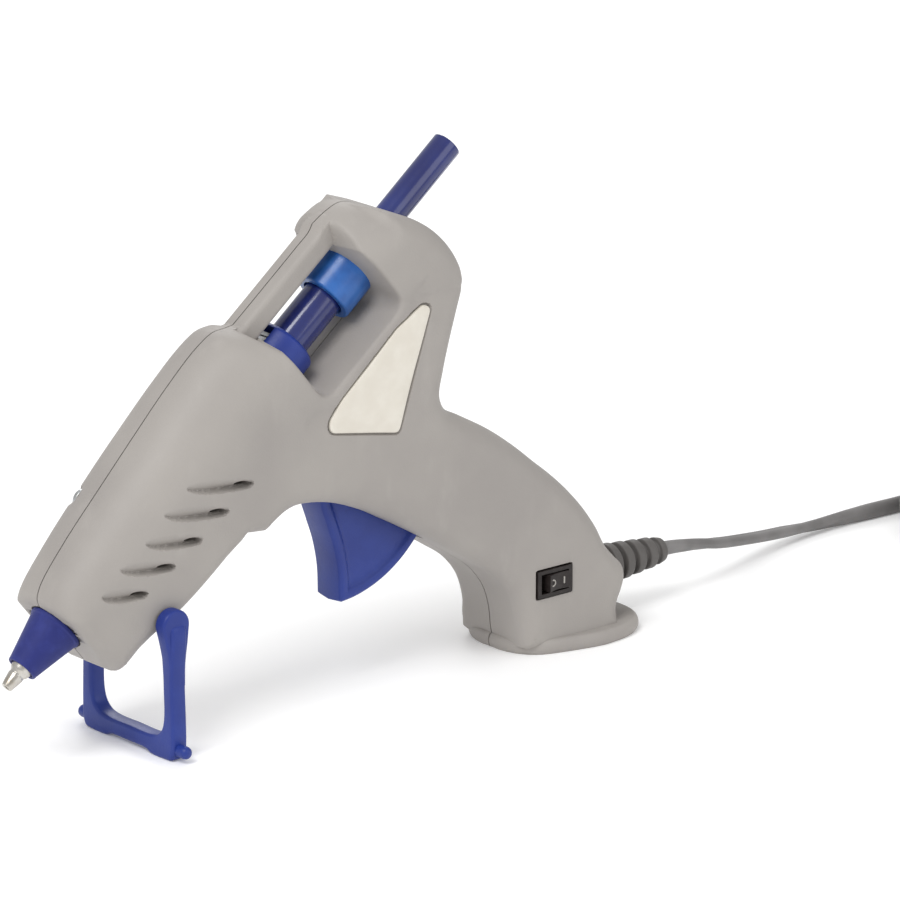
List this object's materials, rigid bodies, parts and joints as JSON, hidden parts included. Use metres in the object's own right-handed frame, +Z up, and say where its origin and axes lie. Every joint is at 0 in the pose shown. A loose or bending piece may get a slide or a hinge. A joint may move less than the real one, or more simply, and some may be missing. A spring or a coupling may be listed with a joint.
{
  "type": "glue gun",
  "caption": "Small pistol-shaped hot glue gun with a folding stand under the barrel, a squeeze trigger, a stick window and a mains cord.",
  "frame": {"origin": "on the surface it stands on, under the middle of the gun's own box (without the cord, coil and plug)", "axes": "+X from the nozzle to the cord side, +Y to the right-hand shell, +Z up as it stands on its stand and foot"},
  "size_m": [0.3335, 0.0711, 0.1268],
  "materials": {
    "shell_grey": "fine satin moulded ABS",
    "zinc_steel": "zinc plated",
    "label_plate": "satin off-white plate",
    "nozzle_steel": "polished",
    "blue_silicone": "soft satin",
    "cast_aluminium": "as cast",
    "ceramic": "matt insulating wrap",
    "blue_plastic": "satin gloss",
    "bright_blue_plastic": "gloss",
    "glue_blue": "waxy gloss",
    "black_plastic": "satin",
    "grey_pvc": "soft PVC",
    "wire_white": "silicone insulation",
    "nickel_blade": "nickel plated"
  },
  "bodies": {
    "housing": {"left_shell": "shell_grey", "right_shell": "shell_grey", "housing_screw_1": "zinc_steel", "housing_screw_2": "zinc_steel", "housing_screw_3": "zinc_steel", "housing_screw_4": "zinc_steel", "housing_screw_5": "zinc_steel", "label_left": "label_plate", "label_right": "label_plate", "nozzle": "nozzle_steel", "nozzle_sleeve": "blue_silicone", "melt_chamber": "cast_aluminium", "heater_element": "ceramic", "heater_clip": "zinc_steel", "inlet_sleeve": "blue_silicone", "sleeve_clamp": "zinc_steel", "return_spring": "zinc_steel", "stick_guide": "bright_blue_plastic", "trigger_pin": "zinc_steel", "switch_body": "black_plastic", "strain_relief": "grey_pvc", "cord_clamp": "black_plastic", "cord_clamp_screw_1": "zinc_steel", "cord_clamp_screw_2": "zinc_steel", "wire_switched": "wire_white", "wire_neutral": "wire_white", "wire_live": "wire_white", "cord": "grey_pvc", "cord_coil": "grey_pvc", "cord_tie": "black_plastic", "plug": "grey_pvc", "plug_blade_1": "nickel_blade", "plug_blade_2": "nickel_blade"},
    "trigger": {"trigger": "blue_plastic"},
    "carriage": {"feed_carriage": "blue_plastic", "pawl_pin": "zinc_steel"},
    "pawl": {"grip_pawl": "zinc_steel"},
    "glue_stick": {"glue_stick": "glue_blue"},
    "stand": {"stand": "blue_plastic"},
    "rocker": {"switch_rocker": "black_plastic"}
  },
  "joints": [
    {"name": "trigger_squeeze", "type": "hinge", "parent": "housing", "child": "trigger", "pos_m": [-0.00654, 0, 0.0545], "axis": [0, -1, 0], "range_deg": [0, 16], "stiffness_Nm_per_rad": 0.4, "springref_deg": -11.46},
    {"name": "carriage_feed", "type": "slide", "parent": "housing", "child": "carriage", "axis": [-0.7771, 0, -0.6293], "range_m": [0, 0.0088], "stiffness_N_per_m": 1, "springref_m": -0.045, "deforming": ["return_spring"]},
    {"name": "pawl_tilt", "type": "hinge", "parent": "carriage", "child": "pawl", "pos_m": [-0.02329, 0, 0.08763], "axis": [0, 1, 0], "range_deg": [-3, 8], "stiffness_Nm_per_rad": 0.005},
    {"name": "stick_slide", "type": "slide", "parent": "carriage", "child": "glue_stick", "axis": [0.7771, 0, 0.6293], "range_m": [0, 0.09]},
    {"name": "stand_fold", "type": "hinge", "parent": "housing", "child": "stand", "pos_m": [-0.0615, 0, 0.03185], "axis": [0, -1, 0], "range_deg": [0, 103]},
    {"name": "switch_rock", "type": "hinge", "parent": "housing", "child": "rocker", "pos_m": [0.05266, -0.0097, 0.0175], "axis": [0, 0, -1], "range_deg": [0, 12]}
  ],
  "couplings": [
    {"joint": "trigger_squeeze", "follows": "carriage_feed", "rad_per_m": 31.65}
  ]
}
